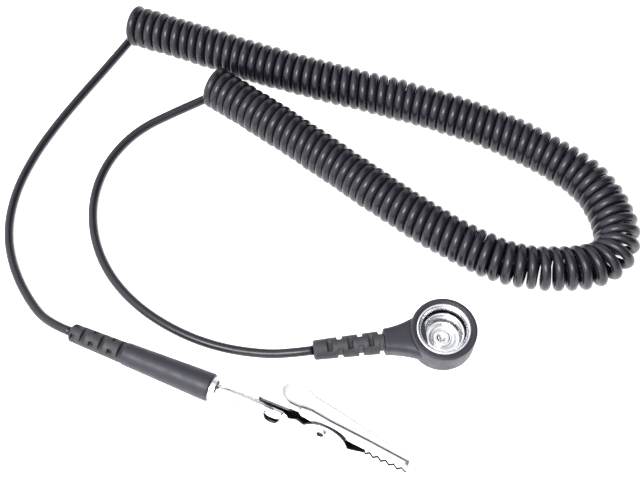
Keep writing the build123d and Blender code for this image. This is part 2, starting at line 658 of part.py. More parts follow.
NODES = {
    "snap_housing": snap_housing,
    "snap_strain_relief": snap_strain_relief,
    "snap_socket_cup": snap_socket_cup,
    "snap_spring_ring": snap_spring_ring,
    "snap_rivet": snap_rivet,
    "snap_terminal": snap_terminal,
    "series_resistor": series_resistor,
    "resistor_wires": resistor_wires,
    "snap_crimp": snap_crimp,
    "cord_end_snap": cord_end_snap,
    "plug_handle": plug_handle,
    "plug_strain_relief": plug_strain_relief,
    "plug_collar": plug_collar,
    "plug_pin": plug_pin,
    "plug_spring_cage": plug_spring_cage,
    "plug_tip": plug_tip,
    "plug_ferrule": plug_ferrule,
    "cord_end_plug": cord_end_plug,
    "clip_lower_jaw": clip_lower_jaw,
    "clip_upper_jaw": clip_upper_jaw,
    "clip_pivot_rivet": clip_pivot_rivet,
    "clip_spring": clip_spring,
    "lead_plug_side": lead_plug_side,
    "curly_section": curly_section,
    "lead_snap_side": lead_snap_side,
}

os.makedirs("parts", exist_ok=True)
for name, make in NODES.items():
    export_step(make(), f"parts/{name}.step")
print("snap relief rear", (snap_frame * Location((snap_relief_x, 0, 0))).position)
print("pivot", (clip_frame * Location((pivot_x, 0, PIVOT_Z))).position)
print("clip side axis", Plane(clip_frame).y_dir, "plug axis", Plane(plug_frame).x_dir)
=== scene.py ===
import math

import bmesh
import bpy
import numpy as np
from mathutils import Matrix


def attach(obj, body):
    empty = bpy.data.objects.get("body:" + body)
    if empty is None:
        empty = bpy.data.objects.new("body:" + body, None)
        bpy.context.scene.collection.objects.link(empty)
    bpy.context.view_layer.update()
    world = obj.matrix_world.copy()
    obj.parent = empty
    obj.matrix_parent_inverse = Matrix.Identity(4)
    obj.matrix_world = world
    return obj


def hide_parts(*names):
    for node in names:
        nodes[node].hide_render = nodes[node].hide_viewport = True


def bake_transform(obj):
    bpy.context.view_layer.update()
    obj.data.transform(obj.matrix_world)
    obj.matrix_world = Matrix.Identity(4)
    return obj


# Curly grounding cord: snap head, retractile cord, banana plug with a crocodile clip on it.
# Metres, +Z up, with the origin at the centre of the snap head's flat back.

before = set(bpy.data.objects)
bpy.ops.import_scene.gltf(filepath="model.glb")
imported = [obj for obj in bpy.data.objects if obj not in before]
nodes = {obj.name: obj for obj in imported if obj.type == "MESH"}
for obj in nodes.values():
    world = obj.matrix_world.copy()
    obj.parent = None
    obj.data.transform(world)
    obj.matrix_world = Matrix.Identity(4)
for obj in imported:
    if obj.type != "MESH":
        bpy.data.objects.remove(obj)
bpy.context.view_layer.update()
print("frame loaded:", len(nodes), "CAD nodes")

view = {
    "place": (-0.0320, -0.1038, 0.2514),
    "aim": (-0.0320, 0.0299, 0.0),
    "lens": 57.66,
    "sensor": 36.0,
}


def lookFrom(thing, place, aim):
    # turns a camera or lamp at place so that its -Z points at aim
    away = np.array(place) - np.array(aim)
    flat = math.hypot(away[0], away[1])
    thing.location = place
    thing.rotation_euler = (math.atan2(flat, away[2]), 0, math.atan2(away[0], -away[1]))


cameraData = bpy.data.cameras.new("camera")
cameraData.lens = view["lens"]
cameraData.sensor_width = view["sensor"]
cameraData.clip_start = 0.01
cameraData.clip_end = 20
camera = bpy.data.objects.new("camera", cameraData)
bpy.context.collection.objects.link(camera)
lookFrom(camera, view["place"], view["aim"])
bpy.context.scene.camera = camera

studio = {
    "skyColour": (0.97, 0.98, 1.0),
    "bright": 2.5,  # sky towards the side that the light comes from
    "dim": 0.45,  # sky opposite it
    "towards": (-0.75, -0.35, 0.55),
    "spread": (-0.30, 0.95),  # cosines between which it goes from dim to bright
    "patches": [  # direction, cosine at the edge, cosine where it is full, strength
        ((1.0, -0.10, 0.15), 0.60, 0.95, 0.22),  # unlit side
        ((0.54, 0.84, 0.05), 0.78, 0.93, 1.60),  # reflector behind
        ((0.47, 0.47, 0.75), 0.925, 0.962, 0.04),  # dark gap high at the back right
    ],
    "boxes": [  # name, place, aim, width, depth, watts
        ("overheadBox", (-0.25, -0.30, 0.70), (-0.03, 0.02, 0.0), 0.45, 0.30, 7.0),
    ],
}


def skyShade(world):
    # The sky's strength runs from dim to bright as a direction nears "towards". Each patch
    # then takes over inside a cone about its own direction.
    world.use_nodes = True
    tree = world.node_tree
    link = tree.links.new
    glow = tree.nodes["Background"]
    glow.inputs["Color"].default_value = (*studio["skyColour"], 1)
    place = tree.nodes.new("ShaderNodeTexCoord")

    def cone(way, low, high, least, most):
        dot = tree.nodes.new("ShaderNodeVectorMath")
        dot.operation = "DOT_PRODUCT"
        dot.inputs[1].default_value = np.array(way) / np.linalg.norm(way)
        ramp = tree.nodes.new("ShaderNodeMapRange")
        ramp.interpolation_type = "SMOOTHSTEP"
        for socket, value in zip(("From Min", "From Max", "To Min", "To Max"),
                                 (low, high, least, most)):
            ramp.inputs[socket].default_value = value
        link(place.outputs["Generated"], dot.inputs[0])
        link(dot.outputs["Value"], ramp.inputs["Value"])
        return ramp.outputs["Result"]

    shade = cone(studio["towards"], *studio["spread"], studio["dim"], studio["bright"])
    for way, edge, full, strength in studio["patches"]:
        over = tree.nodes.new("ShaderNodeMix")
        link(cone(way, edge, full, 0, 1), over.inputs["Factor"])
        link(shade, over.inputs["A"])
        over.inputs["B"].default_value = strength
        shade = over.outputs["Result"]
    link(shade, glow.inputs["Strength"])


world = bpy.data.worlds.new("studio")
bpy.context.scene.world = world
skyShade(world)
for name, place, aim, wide, deep, watts in studio["boxes"]:
    lamp = bpy.data.lights.new(name, "AREA")
    lamp.shape = "RECTANGLE"
    lamp.size = wide
    lamp.size_y = deep
    lamp.energy = watts
    box = bpy.data.objects.new(name, lamp)
    bpy.context.collection.objects.link(box)
    lookFrom(box, place, aim)
bpy.context.scene.view_settings.view_transform = "Standard"
print("camera and light set")


def splineLine(points, fineness=12):
    # the line of a quadratic NURBS spline that has these control points
    curve = smoothCurve("readLine", points, fineness)
    holder = bpy.data.objects.new("readLine", curve)
    mesh = bpy.data.meshes.new_from_object(holder)
    flat = np.zeros(len(mesh.vertices) * 3)
    mesh.vertices.foreach_get("co", flat)
    bpy.data.objects.remove(holder)
    bpy.data.meshes.remove(mesh)
    bpy.data.curves.remove(curve)
    return flat.reshape(-1, 3)


def smoothCurve(name, points, fineness):
    # one open NURBS spline, with its order set once the points are in
    curve = bpy.data.curves.new(name, "CURVE")
    curve.dimensions = "3D"
    curve.resolution_u = fineness
    spline = curve.splines.new("NURBS")
    spline.points.add(len(points) - 1)
    spline.points.foreach_set("co", np.column_stack([points, np.ones(len(points))]).ravel())
    spline.order_u = 3
    spline.use_endpoint_u = True
    return curve


def evenly(line, count):
    # count points at equal distances along a line, with the line's whole length
    along = np.concatenate([[0], np.cumsum(np.linalg.norm(np.diff(line, axis=0), axis=1))])
    at = np.linspace(0, along[-1], count)
    return np.stack([np.interp(at, along, line[:, k]) for k in range(3)], axis=1), along[-1]


def softened(values, width):
    # running mean of that many samples, with the ends held
    padded = np.pad(values, width, mode="edge")
    return np.convolve(padded, np.ones(width) / width, mode="same")[width:-width]


cord = {
    "diameter": 0.00245,
    "coilDiameter": 0.0120,
    "coilHeight": 0.00605,
    "leadHeight": 0.001275,
    "clearance": 0.0001,  # the turns' points are at least this much above the leads'
    "pitch": [  # distance along the coil and the pitch there, in millimetres
        (0, 2.80), (34, 2.79), (66, 2.82), (90, 2.73), (114, 2.69), (127, 2.64), (139, 2.93),
        (156, 2.86), (169, 3.24), (178, 3.40), (192, 3.18), (202, 3.02), (211, 2.75),
        (226, 2.62), (243, 2.50), (262, 2.57), (282, 2.54), (300, 2.58),
    ],
    "pointsPerTurn": 12,
    "samples": 3001,  # points read along the coil's route
    "headingSpan": 41,  # samples that the route's heading is averaged over
    "fineness": 9,
    "sides": 16,
    "inset": 0.9773,  # share of its points' radius that a quadratic spline runs at
    "swell": 0.04,  # how much wider the turns stand on the bend
    "bend": (0.53, 0.07),  # where the bend is along the coil and how far it reaches
    "pitchWaves": [(0.012, 151, 0.7), (0.010, 373, 2.1)],  # size, rate and start
    "widthWaves": [(0.012, 0.9, 0), (0.010, 2.3, 1)],
    "lean": (0.00035, 0.37, 1.3),  # size, rate and start of the turns' lean along the coil
    "oversize": 0.01,  # all of the cord is drawn this much thicker than its diameter
    "closing": 0.11,  # added to that in the turns, so that no gaps show between them
    "closingEnds": (4, 6),  # points outside and inside the coil over which it grows
    "length": 3.5,
    "snapEnd": (-0.0337466, -0.0041436, 0.0031),
    "plugEnd": (-0.0967, 0.0005, 0.0041),
}
coilRoute = [
    (-89.2, 101.2), (-68.7, 93.8), (-49.3, 86.0), (-29.1, 79.3), (-8.6, 73.2),
    (11.4, 66.0), (30.3, 56.0), (47.0, 42.6), (50.1, 19.3), (22.5, 17.1),
    (4.6, 26.4), (-12.7, 39.1), (-29.4, 52.6), (-46.3, 65.8), (-63.6, 78.2),
]
plugLeadRoute = [
    (-107.8, 7.8), (-114.9, 18.8), (-118.8, 31.0), (-118.5, 44.0), (-114.7, 56.7),
    (-109.1, 68.2), (-102.5, 79.4), (-95.7, 90.3),
]
snapLeadRoute = [
    (-74.4, 72.4), (-85.4, 65.8), (-93.0, 55.6), (-96.3, 43.2), (-94.9, 30.4),
    (-89.7, 18.9), (-81.3, 9.4), (-70.7, 2.2), (-59.0, -2.6), (-46.4, -4.6),
]
plugLeadBend = (-0.1017, 0.0026, 0.0038)
snapLeadBend = (-0.0386, -0.00475, 0.0029)


def laid(route, height):
    # a route in millimetres seen from above, at one height
    flat = np.array(route) / 1000
    return np.column_stack([flat, np.full(len(flat), height)])


def waved(value, waves):
    # 1 with sines of those sizes, rates and starts added
    return 1 + sum(size * np.sin(value * rate + start) for size, rate, start in waves)


def helix(route):
    # Control points of the turns. Each lies at the turn's radius from the route, at an angle
    # that grows by a full turn for each pitch.
    samples = cord["samples"]
    line, length = evenly(splineLine(route), samples)
    step = length / (samples - 1)
    heading = np.unwrap(np.arctan2(np.gradient(line[:, 1]), np.gradient(line[:, 0])))
    heading = softened(heading, cord["headingSpan"])
    radius = (cord["coilDiameter"] - cord["diameter"]) / 2
    share = np.linspace(0, 1, samples)
    known = np.array(cord["pitch"]) / 1000
    pitch = np.interp(share * length, known[:, 0], known[:, 1])
    pitch = pitch * waved(share, cord["pitchWaves"])
    turned = np.concatenate([[0], np.cumsum(step / pitch[:-1])])
    turns = round(turned[-1])
    turned *= turns / turned[-1]
    at = np.linspace(0, turns, turns * cord["pointsPerTurn"] + 1)
    where = np.interp(at, turned, share)
    middle = np.stack([np.interp(where, share, line[:, k]) for k in range(3)], axis=1)
    ahead = np.interp(where, share, heading)
    angle = at * 2 * math.pi
    bendAt, bendReach = cord["bend"]
    outward = radius / cord["inset"] * waved(at, cord["widthWaves"])
    outward = outward * (1 + cord["swell"] * np.exp(-((where - bendAt) / bendReach) ** 2))
    across = outward * np.sin(angle)
    leanSize, leanRate, leanStart = cord["lean"]
    lean = leanSize * np.sin(at * leanRate + leanStart) * np.sin(angle)
    middle[:, 0] += across * -np.sin(ahead) + lean * np.cos(ahead)
    middle[:, 1] += across * np.cos(ahead) + lean * np.sin(ahead)
    middle[:, 2] -= outward * np.cos(angle)
    middle[:, 2] = np.maximum(middle[:, 2], cord["leadHeight"] + cord["clearance"])
    outwards = np.column_stack([-np.sin(angle) * np.sin(ahead), np.sin(angle) * np.cos(ahead),
                                -np.cos(angle)])
    print("coil:", turns, "turns along", round(length, 4), "m")
    return middle, outwards


def tube(line, outward, radius, sides):
    # Rings carried along a line: each is the circle spanned by the outward direction made
    # square to the line, and the third direction square to both.
    ahead = np.gradient(line, axis=0)
    ahead /= np.linalg.norm(ahead, axis=1)[:, None]
    first = outward - (outward * ahead).sum(1)[:, None] * ahead
    first /= np.linalg.norm(first, axis=1)[:, None]
    second = np.cross(ahead, first)
    angle = np.linspace(0, 2 * math.pi, sides, endpoint=False)
    radius = np.broadcast_to(radius, len(line))[:, None, None]
    return line[:, None] + radius * (np.cos(angle)[None, :, None] * first[:, None]
                                     + np.sin(angle)[None, :, None] * second[:, None])


def patch(grid, around=True, along=False, ends=False):
    # Faces between neighbouring points of a grid of rows, closed round each row, along the
    # rows, or by a face at each end. U is the distance along the rows, V the share of a row.
    rows, across = grid.shape[:2]
    number = np.arange(rows * across).reshape(rows, across)
    if around:
        number = np.column_stack([number, number[:, 0]])
    if along:
        number = np.vstack([number, number[:1]])
    middle = grid.mean(axis=1)
    steps = np.linalg.norm(np.diff(grid - middle[:, None], axis=0), axis=2).mean(axis=1)
    steps = np.hypot(steps, np.linalg.norm(np.diff(middle, axis=0), axis=1))
    far = np.concatenate([[0], np.cumsum(steps), [steps.sum()]])[:len(number)]
    place = np.stack(np.meshgrid(far, np.linspace(0, 1, number.shape[1]), indexing="ij"), axis=-1)
    corners = [(slice(None, -1), slice(None, -1)), (slice(None, -1), slice(1, None)),
               (slice(1, None), slice(1, None)), (slice(1, None), slice(None, -1))]
    faces = np.stack([number[c] for c in corners], axis=-1).reshape(-1, 4).tolist()
    uv = np.stack([place[c] for c in corners], axis=-2).reshape(-1, 2)
    if ends:
        faces += [number[0, :across][::-1].tolist(), number[-1, :across].tolist()]
        uv = np.vstack([uv, np.zeros((2 * across, 2))])
    return grid.reshape(-1, 3), faces, uv


mergeWithin = 2e-7  # points nearer than this are one


def build(name, patches, body, stands, closed=True):
    # One piece from several patches. Doubled points are merged, which closes seams and
    # poles, and the faces of a closed piece are then turned outwards.
    before = np.cumsum([0] + [len(points) for points, _, _ in patches])
    faces = [[corner + start for corner in face]
             for start, (_, some, _) in zip(before, patches) for face in some]
    mesh = bpy.data.meshes.new(name)
    mesh.from_pydata(np.vstack([points for points, _, _ in patches]).tolist(), [], faces)
    layer = mesh.uv_layers.new(name="along")
    layer.data.foreach_set("uv", np.vstack([uv for _, _, uv in patches]).ravel())
    work = bmesh.new()
    work.from_mesh(mesh)
    bmesh.ops.remove_doubles(work, verts=work.verts, dist=mergeWithin)
    if closed:
        bmesh.ops.recalc_face_normals(work, faces=work.faces)
    work.to_mesh(mesh)
    work.free()
    mesh.polygons.foreach_set("use_smooth", [True] * len(mesh.polygons))
    thing = bpy.data.objects.new(name, mesh)
    bpy.context.collection.objects.link(thing)
    if body:
        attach(thing, body)
    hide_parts(*stands)
    return thing


coilLine = laid(coilRoute, cord["coilHeight"])
turnPoints, turnOutward = helix(coilLine)
leadIn = np.vstack([[cord["plugEnd"], plugLeadBend], laid(plugLeadRoute, cord["leadHeight"])])
leadOut = np.vstack([laid(snapLeadRoute, cord["leadHeight"]), [snapLeadBend, cord["snapEnd"]]])
cordPoints = np.vstack([leadIn, turnPoints, leadOut])
cordLine = splineLine(cordPoints, cord["fineness"])
down = np.array([0.0, 0.0, -1.0])
pointOutward = np.vstack([np.tile(down, (len(leadIn), 1)), turnOutward,
                          np.tile(down, (len(leadOut), 1))])
readAt = np.linspace(0, len(cordPoints) - 1, len(cordLine))
lineOutward = np.stack([np.interp(readAt, np.arange(len(cordPoints)), pointOutward[:, k])
                        for k in range(3)], axis=1)
kept = np.arange(len(cordLine))
inTurns = (readAt > len(leadIn)) & (readAt < len(leadIn) + len(turnPoints))
kept = kept[~inTurns | (kept % 3 == 0)]  # a lead needs every sample, a turn every third
cordLine, lineOutward = cordLine[kept], lineOutward[kept]
outside, inside = cord["closingEnds"]
coilFrom, coilTo = len(leadIn), len(leadIn) + len(turnPoints)
inCoil = np.interp(readAt[kept], [coilFrom - outside, coilFrom + inside, coilTo - inside,
                                  coilTo + outside], [0, 1, 1, 0])
cordRadius = cord["diameter"] / 2 * (1 + cord["oversize"] + cord["closing"] * inCoil)
cordPiece = build("cord", [patch(tube(cordLine, lineOutward, cordRadius, cord["sides"]),
                                 ends=True)],
                  "cord_set", ["lead_plug_side", "curly_section", "lead_snap_side"])
print("cord laid")


def finish(name, tones, rough, metal=0.0, coat=0.0, shine=0.5, slow=900, grain=(3000, 0.01),
           lines=None, pits=None, shadeTone=None):
    # Two tones mixed by slow noise, and roughness that wanders with it between two values.
    # Grain is fine noise and pits are sparse dark cells, each a scale per metre and a depth
    # in millimetres. Lines are noise drawn out along the piece's own V, or along X. Where
    # the piece's painted-shade attribute is 1, the colour is the painted shade tone.
    material = bpy.data.materials.new(name)
    material.use_nodes = True
    tree = material.node_tree
    link = tree.links.new
    shader = tree.nodes["Principled BSDF"]
    place = tree.nodes.new("ShaderNodeTexCoord")

    def noise(scale, detail, vector):
        made = tree.nodes.new("ShaderNodeTexNoise")
        made.inputs["Scale"].default_value = scale
        made.inputs["Detail"].default_value = detail
        link(vector, made.inputs["Vector"])
        return made.outputs["Fac"]

    def raised(height, depth, under=None):
        bump = tree.nodes.new("ShaderNodeBump")
        bump.inputs["Strength"].default_value = 1.0
        bump.inputs["Distance"].default_value = depth / 1000
        link(height, bump.inputs["Height"])
        if under:
            link(under, bump.inputs["Normal"])
        return bump.outputs["Normal"]

    wide = noise(slow, 4, place.outputs["Object"])
    tone = tree.nodes.new("ShaderNodeMix")
    tone.data_type = "RGBA"
    tone.inputs["A"].default_value = (*tones[0], 1)
    tone.inputs["B"].default_value = (*tones[1], 1)
    sharper = tree.nodes.new("ShaderNodeMapRange")
    for socket, value in zip(("From Min", "From Max"), (0.35, 0.65)):
        sharper.inputs[socket].default_value = value
    link(wide, sharper.inputs["Value"])
    link(sharper.outputs["Result"], tone.inputs["Factor"])
    colour = tone.outputs["Result"]
    # painted shade: where a piece marks it, the colour turns to a dark tone that stands in for
    # shade
    if shadeTone:
        share = tree.nodes.new("ShaderNodeAttribute")
        share.attribute_name = "paintedShade"
        shadeMix = tree.nodes.new("ShaderNodeMix")
        shadeMix.data_type = "RGBA"
        link(share.outputs["Fac"], shadeMix.inputs["Factor"])
        link(colour, shadeMix.inputs["A"])
        shadeMix.inputs["B"].default_value = (*shadeTone, 1)
        colour = shadeMix.outputs["Result"]
    link(colour, shader.inputs["Base Color"])
    wander = tree.nodes.new("ShaderNodeMapRange")
    for socket, value in zip(("From Min", "From Max", "To Min", "To Max"), (0.3, 0.7, *rough)):
        wander.inputs[socket].default_value = value
    link(wide, wander.inputs["Value"])
    link(wander.outputs["Result"], shader.inputs["Roughness"])
    normal = raised(noise(grain[0], 3, place.outputs["Object"]), grain[1])
    if lines:
        source, scales, turn, depth = lines
        stretch = tree.nodes.new("ShaderNodeMapping")
        stretch.vector_type = "TEXTURE" if turn else "POINT"
        stretch.inputs["Rotation"].default_value = (0, 0, math.radians(turn))
        stretch.inputs["Scale"].default_value = scales
        link(place.outputs[source], stretch.inputs["Vector"])
        normal = raised(noise(1.0, 3, stretch.outputs["Vector"]), depth, normal)
    if pits:
        cells = tree.nodes.new("ShaderNodeTexVoronoi")
        cells.inputs["Scale"].default_value = pits[0]
        link(place.outputs["Object"], cells.inputs["Vector"])
        normal = raised(cells.outputs["Distance"], pits[1], normal)
    link(normal, shader.inputs["Normal"])
    shader.inputs["Metallic"].default_value = metal
    shader.inputs["Coat Weight"].default_value = coat
    shader.inputs["Specular IOR Level"].default_value = shine
    return material


plugHeading, snapHeading, clipRoll = -22.4, 187.0, -25.0  # degrees
ringLines = ("UV", (16000, 0.6, 1), 0, 0.0003)  # turning marks round a revolved piece
drawnLines = ("UV", (60, 40, 1), 0, 0.0020)  # die lines along an extruded jacket
rolledLines = ("Object", (0.004, 0.00012, 0.00012), plugHeading, 0.0022)  # marks on strip
finishes = {
    "cord_jacket": finish("cordJacket", [(0.0085, 0.0080, 0.0135), (0.005, 0.0048, 0.008)],
                          (0.22, 0.32), shine=0.38, slow=260, grain=(2600, 0.003),
                          lines=drawnLines),
    "moulding": finish("moulding", [(0.016, 0.015, 0.023), (0.011, 0.011, 0.017)],
                       (0.40, 0.52), shine=0.4, slow=420, grain=(3200, 0.012),
                       pits=(2600, 0.006)),
    "strain_relief": finish("strainRelief", [(0.018, 0.018, 0.023), (0.012, 0.012, 0.016)],
                            (0.50, 0.66), slow=500, grain=(2400, 0.040), pits=(3400, 0.020)),
    # the third tone is painted shade, used where a piece marks it
    "nickel_plate": finish("nickelPlate", [(0.74, 0.74, 0.75), (0.66, 0.66, 0.68)],
                           (0.12, 0.22), metal=1.0, slow=700, grain=(900, 0.003),
                           lines=ringLines, shadeTone=(0.055, 0.055, 0.062)),
    "spring_wire": finish("springWire", [(0.74, 0.74, 0.76), (0.62, 0.62, 0.65)],
                          (0.18, 0.30), metal=1.0, grain=(1500, 0.004)),
    "spring_leaf": finish("springLeaf", [(0.85, 0.85, 0.86), (0.76, 0.76, 0.78)],
                          (0.12, 0.22), metal=1.0, grain=(1200, 0.004), lines=rolledLines),
    "tinned_brass": finish("tinnedBrass", [(0.70, 0.69, 0.66), (0.62, 0.61, 0.58)],
                           (0.25, 0.40), metal=1.0, grain=(900, 0.006)),
    "resistor_coat": finish("resistorCoat", [(0.42, 0.30, 0.16), (0.36, 0.25, 0.13)],
                            (0.35, 0.45), grain=(1500, 0.01)),
    "clip_steel": finish("clipSteel", [(0.90, 0.90, 0.91), (0.84, 0.84, 0.86)],
                         (0.16, 0.27), metal=1.0, slow=350, grain=(600, 0.004),
                         lines=rolledLines),
    # the third tone is painted shade, used for the rivet head's hollow
    "rivet_steel": finish("rivetSteel", [(0.80, 0.80, 0.82), (0.66, 0.66, 0.69)],
                          (0.16, 0.28), metal=1.0, grain=(800, 0.006),
                          shadeTone=(0.05, 0.05, 0.055)),
}
paintedShadeSteel = finish("paintedShadeSteel", [(0.11, 0.11, 0.12), (0.06, 0.06, 0.065)], (0.38, 0.52),
                  metal=1.0, slow=800, grain=(1800, 0.020))  # painted shade: dark metal on the clip's inside faces and cut edges, where the sheet lies in shade
cordPiece.data.materials.append(finishes["cord_jacket"])
shownIn = {
    "nickel_plate": ["plug_collar", "plug_pin", "plug_tip"],
    "spring_leaf": ["plug_spring_cage"],
    "tinned_brass": ["snap_terminal", "resistor_wires", "snap_crimp", "plug_ferrule"],
    "resistor_coat": ["series_resistor"],
    "cord_jacket": ["cord_end_snap", "cord_end_plug"],
}
for slotName, names in shownIn.items():
    for name in names:
        nodes[name].data.materials.clear()
        nodes[name].data.materials.append(finishes[slotName])
print("finishes made")


def axesAt(origin, turn, roll=0.0):
    # Local axes in millimetres: x points turn degrees from +X, and roll turns y and z about it.
    turn, roll = math.radians(turn), math.radians(roll)
    aside = np.array([-math.sin(turn), math.cos(turn), 0])
    up = np.array([0, 0, 1.0])
    return np.array(origin), np.array([[math.cos(turn), math.sin(turn), 0],
                                       aside * math.cos(roll) + up * math.sin(roll),
                                       up * math.cos(roll) - aside * math.sin(roll)])


def placed(points, axes):
    # local millimetres to the frame's metres
    return axes[0] + points / 1000 @ axes[1]


def rounded(points, radius, closed=True, steps=5):
    # Each corner is swapped for the quadratic curve between the points a radius before and
    # after it, or half a side away where that is nearer.
    points = np.array(points, float)
    back, on = np.roll(points, 1, axis=0) - points, np.roll(points, -1, axis=0) - points
    backLong, onLong = np.linalg.norm(back, axis=1), np.linalg.norm(on, axis=1)
    reach = np.minimum(radius, 0.5 * np.minimum(backLong, onLong))
    if not closed:
        reach[[0, -1]] = 0
    first = points + back * (reach / backLong)[:, None]
    last = points + on * (reach / onLong)[:, None]
    share = np.linspace(0, 1, steps)[None, :, None]
    curve = ((1 - share) ** 2 * first[:, None] + 2 * share * (1 - share) * points[:, None]
             + share ** 2 * last[:, None])
    return curve.reshape(-1, points.shape[1])


def turned(profile, sides=96, axis="z"):
    # each (radius, height) of a profile carried round the local z, x or y axis
    angle = np.linspace(0, 2 * math.pi, sides, endpoint=False)
    radius, height = profile[:, 0:1], profile[:, 1:2] + 0 * angle
    swept = np.stack([radius * np.cos(angle), radius * np.sin(angle), height], axis=-1)
    return swept[..., {"z": [0, 1, 2], "x": [2, 0, 1], "y": [1, 2, 0]}[axis]]


def easing(value, low, high):
    # 0 below low, 1 above high, and a smooth step between them
    share = np.clip((value - low) / (high - low), 0, 1)
    return share * share * (3 - 2 * share)


def within(value, low, high, soft):
    # 1 between low and high with soft sides
    return easing(value, low - soft / 2, low + soft / 2) * (1 - easing(
        value, high - soft / 2, high + soft / 2))


def pointsOf(thing):
    # where a piece's points are
    flat = np.zeros(len(thing.data.vertices) * 3)
    thing.data.vertices.foreach_get("co", flat)
    return flat.reshape(-1, 3)


def paintShade(thing, amount):
    # how much painted shade each point of a piece has, from 0 to 1
    layer = thing.data.attributes.new("paintedShade", "FLOAT", "POINT")
    layer.data.foreach_set("value", np.clip(amount, 0, 1).astype(np.float32))


snapAxes = axesAt((0, 0, cord["snapEnd"][2]), snapHeading)
plugAxes = axesAt(cord["plugEnd"], plugHeading)
clipAxes = axesAt(cord["plugEnd"], plugHeading, clipRoll)
upright = axesAt((0, 0, 0), 0.0)

snapHead = {
    "outline": [  # (radius, height) round the section, in millimetres
        (0, 0), (8.65, 0), (8.65, 7.7), (7.62, 7.7), (7.42, 7.42), (7.2, 7.42), (7.2, 6.9),
        (6.45, 6.7), (6.45, 4.1), (5.65, 3.9), (5.65, 1.4), (5.0, 0.8), (0, 0.8),
    ],
    "corners": [0, 0.45, 0.75, 0.25, 0.12, 0.05, 0.05, 0.1, 0.1, 0.1, 0.1, 0.1, 0],
    "neckFrom": 4.6, "neckTo": 15.6,
    "flankFrom": 5.63,  # where the neck has its first half width
    "neckHalfWidths": (6.2, 3.3),
    "neckHalfHeight": 2.95,
    "hollow": 1.7,  # power that the half width falls by
    "rise": 0.03,  # how much taller the neck is at its root
    "fullness": 3.4,
    "endRound": 0.35, "endLoss": 0.22,  # length and depth of the rounding at its end
    "sections": 60, "around": 72,
}
headSection = rounded(snapHead["outline"], np.array(snapHead["corners"]), closed=False, steps=7)


def neckGrid(piece):
    # Sections along x: a superellipse whose half width falls by a power of the share
    # left to run, so that the flanks are hollow and end in line with the relief.
    x = np.linspace(piece["neckFrom"], piece["neckTo"], piece["sections"])
    wide, narrow = piece["neckHalfWidths"]
    left = np.clip((piece["neckTo"] - x) / (piece["neckTo"] - piece["flankFrom"]), 0, None)
    half = narrow + (wide - narrow) * left ** piece["hollow"]
    fromEnd = np.clip((piece["neckTo"] - x) / piece["endRound"], 0, 1)
    shoulder = 1 - piece["endLoss"] * (1 - np.sqrt(fromEnd))
    angle = np.linspace(0, 2 * math.pi, piece["around"], endpoint=False)
    power = 2 / piece["fullness"]
    y = np.sign(np.cos(angle)) * np.abs(np.cos(angle)) ** power
    z = np.sign(np.sin(angle)) * np.abs(np.sin(angle)) ** power
    tall = piece["neckHalfHeight"] * (1 + piece["rise"] * left)
    return np.stack([x[:, None] + 0 * y, (half * shoulder)[:, None] * y,
                     (tall * shoulder)[:, None] * z], axis=-1)


snapShell = build("snapShell", [patch(placed(turned(headSection, 160), upright)),
                                patch(placed(neckGrid(snapHead), snapAxes), ends=True)],
                  "cord_set", ["snap_housing"])
snapShell.data.materials.append(finishes["moulding"])

socket = {
    "section": [  # pressed cup: inside from the rim down, then back up outside
        (7.2, 7.42), (6.98, 7.75), (6.52, 7.75), (6.30, 7.50), (5.9, 6.95), (5.9, 6.65),
        (6.02, 6.4), (6.02, 4.45), (5.75, 4.12), (5.2, 4.08), (5.2, 2.1), (4.5, 1.2),
        (3.4, 1.2), (3.2, 1.32), (3.0, 1.2), (1.1, 1.2), (1.1, 0.8), (5.0, 0.8), (5.6, 1.4),
        (5.6, 3.9), (6.4, 4.1), (6.4, 6.7), (7.2, 6.9),
    ],
    "corner": 0.22,
    "paintedShade": [  # painted shade, how much, between which radii and heights: groove, rim's fold, socket wall
        (0.95, (5.5, 6.2), (3.95, 6.72)), (0.75, (6.34, 6.50), (7.35, 7.72)),
        (0.45, (5.1, 5.3), (2.6, 4.0)), (0.55, (4.9, 5.25), (1.5, 2.2)),
    ],
    "paintedShadeSoft": (0.06, 0.12),  # over how much radius and height the painted shade fades
    "ringRadius": 5.45, "wire": 0.8, "ringHeight": 4.6, "ringGap": 9.0, "ringTurn": 262.0,
    "ringPoints": 120, "ringStep": 0.27, "ringBlunt": 0.12, "ringSides": 16,
    "boss": [  # rivet head with a ring and a dimple
        (0, 1.44), (0.55, 1.46), (0.95, 1.70), (1.25, 1.80), (1.95, 1.80), (2.15, 1.74),
        (2.42, 1.80), (2.6, 1.62), (2.6, 1.2), (1.1, 1.2), (1.1, 0.5), (0, 0.5),
    ],
    "bossCorner": 0.16,
}
cup = build("socketCup", [patch(placed(turned(rounded(socket["section"], socket["corner"]), 128),
                                       upright), along=True)],
            "cord_set", ["snap_socket_cup"])
cup.data.materials.append(finishes["nickel_plate"])
cupPlace = pointsOf(cup) * 1000
cupRadius, cupHeight = np.hypot(cupPlace[:, 0], cupPlace[:, 1]), cupPlace[:, 2]
fadeOut, fadeUp = socket["paintedShadeSoft"]
